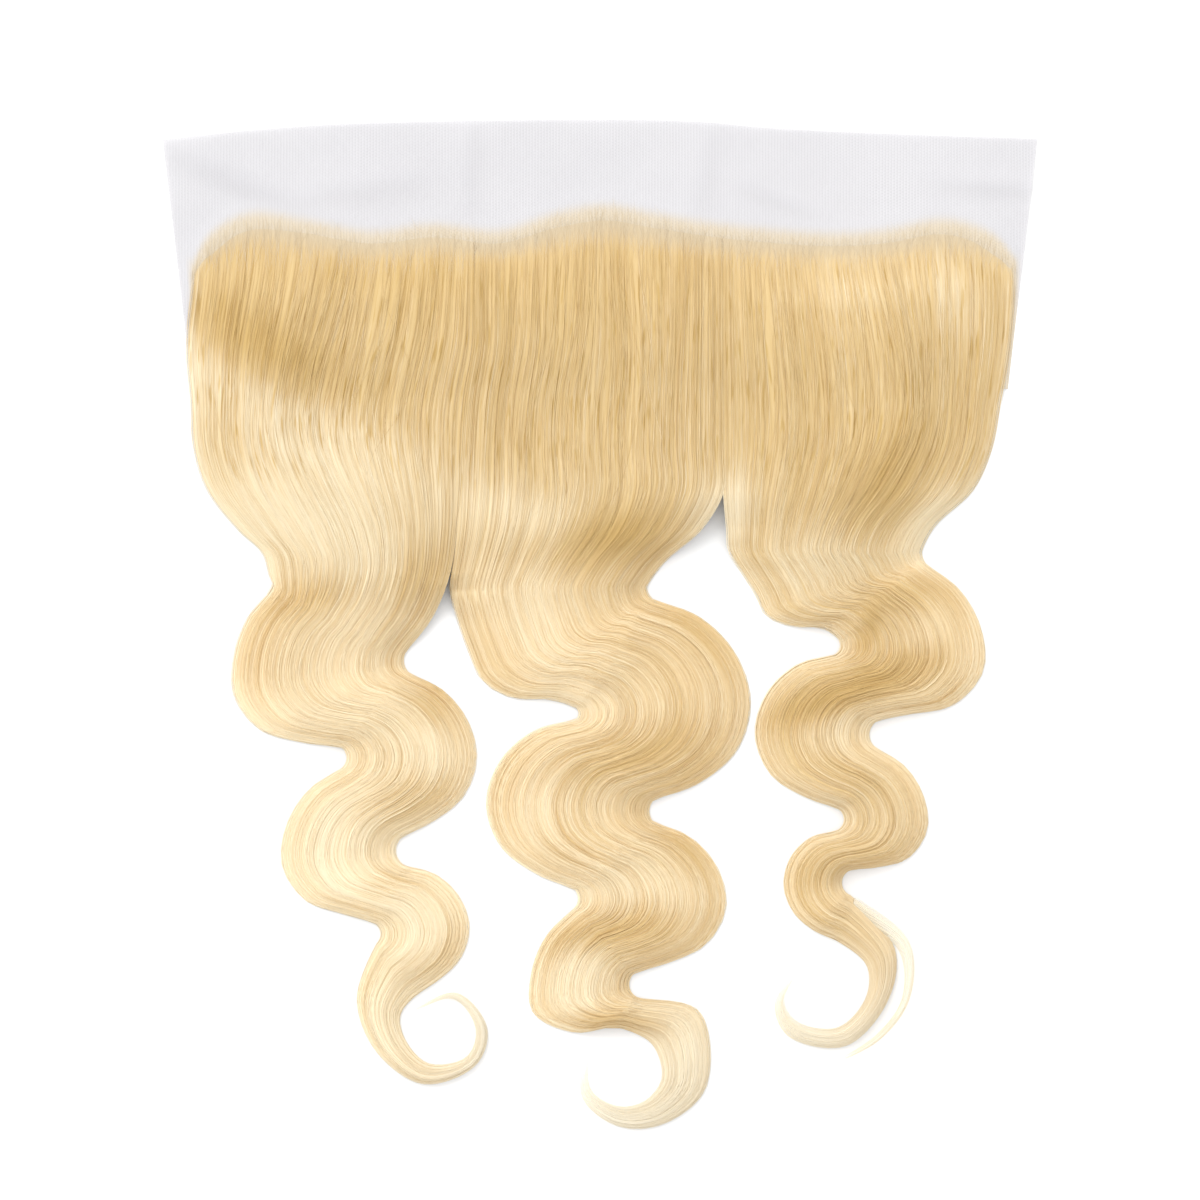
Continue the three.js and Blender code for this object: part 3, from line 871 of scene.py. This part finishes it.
def cover_of(flow, across, along):
    """How much of the hair is there: thin at the free side edges and the tips."""
    side = mix(ease(flow.inward(across, along) / HAIR_RIM), 1, flow.hold(across, along))
    return side * mix(0.3, 1, ease((1 - along) * flow.length / TIP_FADE))


def hank_body(name, forms, material):
    """The closed surface of a hank and its wisp. Its underside draws in and thins at the sides."""
    points, quads, ends, uvs, under = [], [], [], [], []
    painted_lights_and_tones, pales, tufts, roots, covers = [], [], [], [], []
    start = 0
    for form in forms:
        breadth = form.BREADTH if form.flow.rooted else WISP_LANES
        length = form.LENGTH if form.flow.rooted else WISP_RINGS
        groups = (breadth - 1) // LANE_STEP
        below = np.linspace(1 - UNDERCUT, UNDERCUT, groups + 1)
        lanes = np.concatenate([np.linspace(0, 1, breadth), below])
        along, across = np.meshgrid(np.linspace(0, 1, length), lanes, indexing="ij")
        ring, plan = form.point(across, along)
        ring[:, breadth:, 2] = rest_height(plan[:, breadth:]) - SUNK
        points.append(ring.reshape(-1, 3))
        columns = len(lanes)
        quads.append(grid_quads(length, columns, start, close=True).reshape(-1, 4))
        under.append(np.tile(np.arange(columns) >= breadth - 1, length - 1))
        last = start + (length - 1) * columns
        for group in range(groups):
            above = range(group * LANE_STEP, (group + 1) * LANE_STEP + 1)
            cap = np.array([*above, columns - 2 - group, columns - 1 - group])
            ends += [start + cap, last + cap[::-1]]
        start += length * columns
        painted_lights_and_tones.append(painted_light_of(form, plan, across, along))
        pales.append(pale_of(form.flow, along))
        tufts.append(tufted(form.flow, along))
        roots.append(root_of(form.flow, along))
        cover = form.density * cover_of(form.flow, across, along)
        cover[:, breadth:] *= ease((np.minimum(below, below[::-1]) - UNDERCUT) / UNDER_FADE)
        covers.append(cover)
        uvs.append(form.texture(across, along).reshape(-1, 2))
    values = {"painted_light_and_tone": painted_lights_and_tones, "pale": pales, "tuft": tufts, "root": roots, "cover": covers}
    joined = {key: np.concatenate([part.ravel() for part in value]) for key, value in values.items()}
    points, quads, uvs, under = map(np.concatenate, (points, quads, uvs, under))
    return mesh_object(name, points, quads, joined, uvs, material, ends, under)


def ribbon_mesh(name, paths, widths, tilt, values, uv, material):
    """Hairs as narrow ribbons. paths is hairs by points by three, widths hairs by points."""
    hairs, count, _ = paths.shape
    way = np.gradient(paths, axis=1)
    way /= np.maximum(np.linalg.norm(way, axis=-1, keepdims=True), 1e-9)
    side = np.cross(way, [0, 0, 1])
    side /= np.maximum(np.linalg.norm(side, axis=-1, keepdims=True), 1e-9)
    up = np.cross(side, way)
    edge = side * np.cos(tilt)[:, None, None] + up * np.sin(tilt)[:, None, None]
    offset = edge * widths[..., None] / 2
    points = np.stack([paths - offset, paths + offset], axis=2).reshape(-1, 3)
    starts = (np.arange(hairs) * count * 2)[:, None, None, None]
    quads = starts + grid_quads(count, 2)[None]
    doubled = {key: np.repeat(value.ravel(), 2) for key, value in values.items()}
    places = np.repeat(uv.reshape(-1, 2), 2, axis=0)
    return mesh_object(name, points, quads.reshape(-1, 4), doubled, places, material)


def loose_hairs(name, form, count, steps, width, seed, material):
    """Single hairs that lie over a hank, a few of them astray."""
    rng = np.random.default_rng(seed)
    across = (rng.permutation(count) + rng.random(count)) / count
    rooted = rng.random(count) < FROM_ROOTS
    begin = np.where(rooted, rng.random(count) * 0.02, rng.random(count) * 0.6)
    finish = 1 - np.abs(rng.normal(0, 0.07, count))
    cut = rng.random(count) < CUT_SHORT
    finish = np.where(cut, begin + (finish - begin) * rng.random(count), finish)
    share = np.linspace(0, 1, steps)[None, :]
    along = mix(begin[:, None], finish[:, None], share)
    wander = np.zeros_like(along)
    astray = np.where(rng.random(count) < ASTRAY, 5, 1) * across * (1 - across) * 4
    for waves in (1, 2, 4):
        size = (rng.normal(0, 0.012 / waves, count) * astray)[:, None]
        wander += size * np.sin(2 * np.pi * (along * waves * 2 + rng.random(count)[:, None]))
    lanes = across[:, None] + wander
    held = np.clip(lanes, 0, 1)
    plan = form.flow.plan(form.drift(lanes, along), along)
    lift = np.abs(rng.normal(0, 0.18, count))[:, None] * MM
    height = form.height(held, along, plan) + STRAND_LIFT + lift
    paths = np.concatenate([placed(plan), height[..., None]], -1)
    taper = ease(share / 0.04) * ease((1 - share) / 0.15)
    girth = form.density * width * rng.uniform(0.6, 1.25, count)[:, None] * mix(0.1, 1, taper)
    # Each hair takes the painted light beneath it plus a random tone of its own.
    painted_light_and_tone = painted_light_of(form, plan, held, along) + rng.normal(0.05, 0.15, count)[:, None]
    uv = form.texture(lanes, along)
    values = {"painted_light_and_tone": painted_light_and_tone, "pale": pale_of(form.flow, along)}
    values |= {"tuft": tufted(form.flow, along), "root": root_of(form.flow, along)}
    return ribbon_mesh(name, paths, girth, rng.normal(0, 0.5, count), values, uv, material)


def hairline_hairs(name, forms, count, look, material):
    """Short fine hairs that leave the net along the hairline and lead into the hanks."""
    rng = np.random.default_rng(look.seed + 500)
    steps = 10
    paths, widths, painted_lights_and_tones, uvs = [], [], [], []
    for form in forms:
        across = ((np.arange(count) + rng.random(count)) / count)[:, None]
        ahead = np.abs(rng.normal(0, 2.2, count))[:, None] * MM
        reach = rng.uniform(5, 14, count)[:, None] * MM
        share = np.linspace(0, 1, steps)[None, :]
        run = reach * share
        along = np.maximum(run - ahead, 0) / form.flow.length
        lanes = across + rng.normal(0, 0.03, count)[:, None] * share
        plan = form.flow.plan(np.clip(lanes, 0.0, 1.0), along)
        back = np.maximum(ahead - run, 0)
        plan[..., 1] += back / LACE_WIDTH
        height = form.height(np.clip(lanes, 0, 1), along, plan) + 0.3 * MM * share
        paths.append(np.concatenate([placed(plan), height[..., None]], -1))
        thin = look.hair_width * mix(0.08, 0.32, ease(share / 0.5) * ease((1 - share) / 0.4))
        widths.append(np.broadcast_to(thin, along.shape))
        painted_lights_and_tones.append(rng.normal(0.1, 0.2, count)[:, None] * np.ones_like(along))
        uvs.append(form.texture(lanes, along))
    path = np.concatenate(paths)
    painted_light_and_tone = np.concatenate(painted_lights_and_tones)
    plain = np.zeros_like(painted_light_and_tone)
    values = {"painted_light_and_tone": painted_light_and_tone, "pale": plain + 0.25, "tuft": plain, "root": plain + 0.7}
    tilt = rng.normal(0, 0.4, len(path))
    wide = np.concatenate(widths)
    return ribbon_mesh(name, path, wide, tilt, values, np.concatenate(uvs), material)


def lace_sheet(look):
    """The lace as one thin sheet, smooth under the hair and softly folded in front of it."""
    columns, rows = 220, 72
    down, share = np.meshgrid(np.linspace(0, 1, rows), np.linspace(0, 1, columns), indexing="ij")
    front = placed(np.stack([share - 0.5, front_edge_at(share - 0.5)], -1))[..., 1]
    back = LAY_LENGTH / 2 - LACE_DEPTH
    x = (2 * share - 1) * lace_half(down)
    y = mix(front, back, down)
    plan = np.stack([x / LACE_WIDTH, (y / LAY_LENGTH - 0.5) / PLAN_RATIO], -1)
    beyond = np.maximum(HAIRLINE[0]["across"] - plan[..., 0], plan[..., 0] - HAIRLINE[-1]["across"])
    to_hair = np.maximum(plan[..., 1] - hairline_at(plan[..., 0]), 3 * beyond) * LACE_WIDTH
    free = ease(to_hair / FREE_MARGIN)
    ripple = grain(share, down, 40, 9, look.seed) * 0.12 + grain(share, down, 14, 5, look.seed) * 0.2
    lift = (patches(plan, FOLDS) * 1.2 + ripple + 0.3) * MM * free
    under = np.maximum(rest_height(plan), LEAST_HEIGHT)
    z = mix(under, FREE_HEIGHT, free) + np.maximum(lift, 0)
    points = np.stack([x, y, z], -1).reshape(-1, 3)
    uv = np.stack([share, 1 - down], -1).reshape(-1, 2)
    quads = grid_quads(rows, columns).reshape(-1, 4)
    # Painted shade along the lace's folds, fading near the hair.
    values = {"fold_shade": patches(plan, FOLDS) * free, "knots": 0.9 * (1 - ease(to_hair / KNOT_REACH))}
    return mesh_object("lace_net", points, quads, values, uv, lace_material(look))


class FrontalLook(bpy.types.PropertyGroup):
    """Sizes and colours of the hair, the lace and the stage."""

    hair_loft: bpy.props.FloatProperty(
        name="Hair loft", description="Height of the pile where it is fullest",
        default=0.013, min=0.004, max=0.02, unit="LENGTH",
    )
    hair_width: bpy.props.FloatProperty(
        name="Hair width", description="Width of a single ribbon of hair",
        default=0.0002, min=0.0001, max=0.001, unit="LENGTH",
    )
    hair_count: bpy.props.IntProperty(
        name="Loose hairs", description="Loose hairs over each hank", default=560, min=10, max=700
    )
    net_pitch: bpy.props.FloatProperty(
        name="Net pitch", description="From one thread of the net to the next",
        default=0.00113, min=0.0004, max=0.003, unit="LENGTH",
    )
    hair_colour: bpy.props.FloatVectorProperty(
        name="Hair", description="Main colour of the hair",
        default=(0.665, 0.485, 0.23), subtype="COLOR",
    )
    # The palest strands' colour, which the painted sheen also reaches.
    light_and_sheen_colour: bpy.props.FloatVectorProperty(
        name="Light strands", description="Colour of the palest streaks",
        default=(0.87, 0.76, 0.545), subtype="COLOR",
    )
    # The darkest strands' colour, which the painted shade between the locks, in the grooves and in
    # the partings also reaches.
    dark_and_shade_colour: bpy.props.FloatVectorProperty(
        name="Dark strands", description="Colour deep between the locks",
        default=(0.55, 0.365, 0.125), subtype="COLOR",
    )
    tip_colour: bpy.props.FloatVectorProperty(
        name="Tips", description="Colour towards the tips",
        default=(0.91, 0.84, 0.68), subtype="COLOR",
    )
    wave_tint: bpy.props.FloatVectorProperty(
        name="Wave tint", description="What the hair's colour is multiplied by in the waves",
        default=(1.08, 1.06, 1.03), subtype="COLOR", max=2.0,
    )
    root_colour: bpy.props.FloatVectorProperty(
        name="Roots", description="Colour of the hair where it leaves the net",
        default=(0.62, 0.52, 0.37), subtype="COLOR",
    )
    lace_colour: bpy.props.FloatVectorProperty(
        name="Lace", description="Colour of the net", default=(0.7, 0.69, 0.71), subtype="COLOR"
    )
    # The darker net colour: the thickest threads and cloudy patches take it as their own colour, and
    # the folds take it as painted shade.
    lace_shade: bpy.props.FloatVectorProperty(
        name="Lace shade", description="Colour of the net's thickest threads",
        default=(0.585, 0.575, 0.6), subtype="COLOR",
    )
    knot_colour: bpy.props.FloatVectorProperty(
        name="Knots", description="Colour of the net where hairs are knotted into it",
        default=(0.67, 0.57, 0.42), subtype="COLOR",
    )
    floor_colour: bpy.props.FloatVectorProperty(
        name="Floor", description="Colour of the floor", default=(0.94, 0.94, 0.94), subtype="COLOR"
    )
    key_light: bpy.props.FloatProperty(
        name="Key light", description="Strength of the light from the upper left", default=1.25
    )
    sky_light: bpy.props.FloatProperty(
        name="Fill light", description="Strength of the light from all round", default=1.12
    )
    seed: bpy.props.IntProperty(name="Seed", description="Which way the hairs fall", default=7)


def hank_forms(look):
    """Every hank's form and, at the right hank, its wisp's."""
    made = {}
    for index, hank in enumerate(HANKS):
        flow, wisp = flows_of(hank)
        form = HankForm(flow, look.hair_loft, look.seed + 40 * index, hank["lean"])
        made[hank["name"]] = [form]
        if hank["name"] == "hair_right":
            side = Flow(wisp, rooted=False)
            made[hank["name"]].append(HankForm(side, look.hair_loft, look.seed + 333))
    return made


class FRONTAL_OT_lace(bpy.types.Operator):
    """Make the lace"""

    bl_idname = "frontal.lace"
    bl_label = "Lace"

    def execute(self, context):
        piece = lace_sheet(context.scene.frontal_look)
        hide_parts("lace_base")
        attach(piece, "root")
        return {"FINISHED"}


class FRONTAL_OT_hanks(bpy.types.Operator):
    """Make the hanks of hair"""

    bl_idname = "frontal.hanks"
    bl_label = "Hanks"

    def execute(self, context):
        look = context.scene.frontal_look
        material = hair_material("hair_hank", look, see_through=True)
        for name, forms in hank_forms(look).items():
            piece = hank_body(name.replace("hair", "hank"), forms, material)
            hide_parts(name)
            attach(piece, "root")
        return {"FINISHED"}


class FRONTAL_OT_hairs(bpy.types.Operator):
    """Make the loose hairs over the hanks and along the hairline"""

    bl_idname = "frontal.hairs"
    bl_label = "Loose hairs"

    def execute(self, context):
        look = context.scene.frontal_look
        material = hair_material("hair_strands", look, see_through=False)
        made, main = [], []
        for name, forms in hank_forms(look).items():
            main.append(forms[0])
            side = name.replace("hair_", "")
            seed = forms[0].seed + 900
            args = (look.hair_count, STRAND_STEPS, look.hair_width, seed, material)
            made.append(loose_hairs("strands_" + side, forms[0], *args))
            if len(forms) > 1:
                args = (WISP_HAIRS, WISP_STEPS, look.hair_width, seed + 1, material)
                made.append(loose_hairs("strands_wisp", forms[1], *args))
        made.append(hairline_hairs("strands_hairline", main, HAIRLINE_HAIRS, look, material))
        for piece in made:
            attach(piece, "root")
        return {"FINISHED"}


class FRONTAL_OT_stage(bpy.types.Operator):
    """Make the floor, the lights and the camera"""

    bl_idname = "frontal.stage"
    bl_label = "Stage"

    def execute(self, context):
        look = context.scene.frontal_look
        scene = context.scene
        uv = [(0, 0), (1, 0), (1, 1), (0, 1)]
        corners = [((2 * u - 1) * FLOOR_HALF, (2 * v - 1) * FLOOR_HALF, 0) for u, v in uv]
        floor = mesh_object("floor", corners, [[0, 1, 2, 3]], {}, uv, floor_material(look))

        key = bpy.data.lights.new("key", "SUN")
        key.energy = look.key_light
        key.angle = np.radians(LAMP_WIDTH)
        lamp = bpy.data.objects.new("key", key)
        lamp.rotation_euler = np.radians(LAMP_TURNS)
        scene.collection.objects.link(lamp)

        world = bpy.data.worlds.new("studio")
        world.use_nodes = True
        background = world.node_tree.nodes["Background"]
        background.inputs["Color"].default_value = (1.0, 1.0, 1.0, 1)
        background.inputs["Strength"].default_value = look.sky_light
        scene.world = world
        scene.view_settings.view_transform = "Standard"

        frame_width = LACE_WIDTH * FRAME_PIXELS / LACE_PIXELS
        camera = bpy.data.cameras.new("camera")
        camera.sensor_width = 36
        camera.lens = camera.sensor_width * CAMERA_HEIGHT / frame_width
        camera.clip_end = 30
        eye = bpy.data.objects.new("camera", camera)
        eye.location = (0, frame_width * LOW_PIXELS / FRAME_PIXELS, CAMERA_HEIGHT)
        scene.collection.objects.link(eye)
        scene.camera = eye
        return {"FINISHED"}


class FRONTAL_PT_panel(bpy.types.Panel):
    """Sizes, colours and the steps of the build"""

    bl_label = "Lace Frontal"
    bl_idname = "FRONTAL_PT_panel"
    bl_space_type = "VIEW_3D"
    bl_region_type = "UI"
    bl_category = "Frontal"

    def draw(self, context):
        look = context.scene.frontal_look
        for name in look.__annotations__:
            self.layout.prop(look, name)
        for step in STEPS:
            self.layout.operator(step.bl_idname)


STEPS = (FRONTAL_OT_lace, FRONTAL_OT_hanks, FRONTAL_OT_hairs, FRONTAL_OT_stage)
CLASSES = (FrontalLook, *STEPS, FRONTAL_PT_panel)


def register():
    for cls in CLASSES:
        bpy.utils.register_class(cls)
    bpy.types.Scene.frontal_look = bpy.props.PointerProperty(type=FrontalLook)


def unregister():
    del bpy.types.Scene.frontal_look
    for cls in reversed(CLASSES):
        bpy.utils.unregister_class(cls)


def main():
    register()
    bpy.ops.frontal.lace()
    bpy.ops.frontal.hanks()
    bpy.ops.frontal.hairs()
    bpy.ops.frontal.stage()
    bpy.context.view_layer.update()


if __name__ == "__main__":
    main()
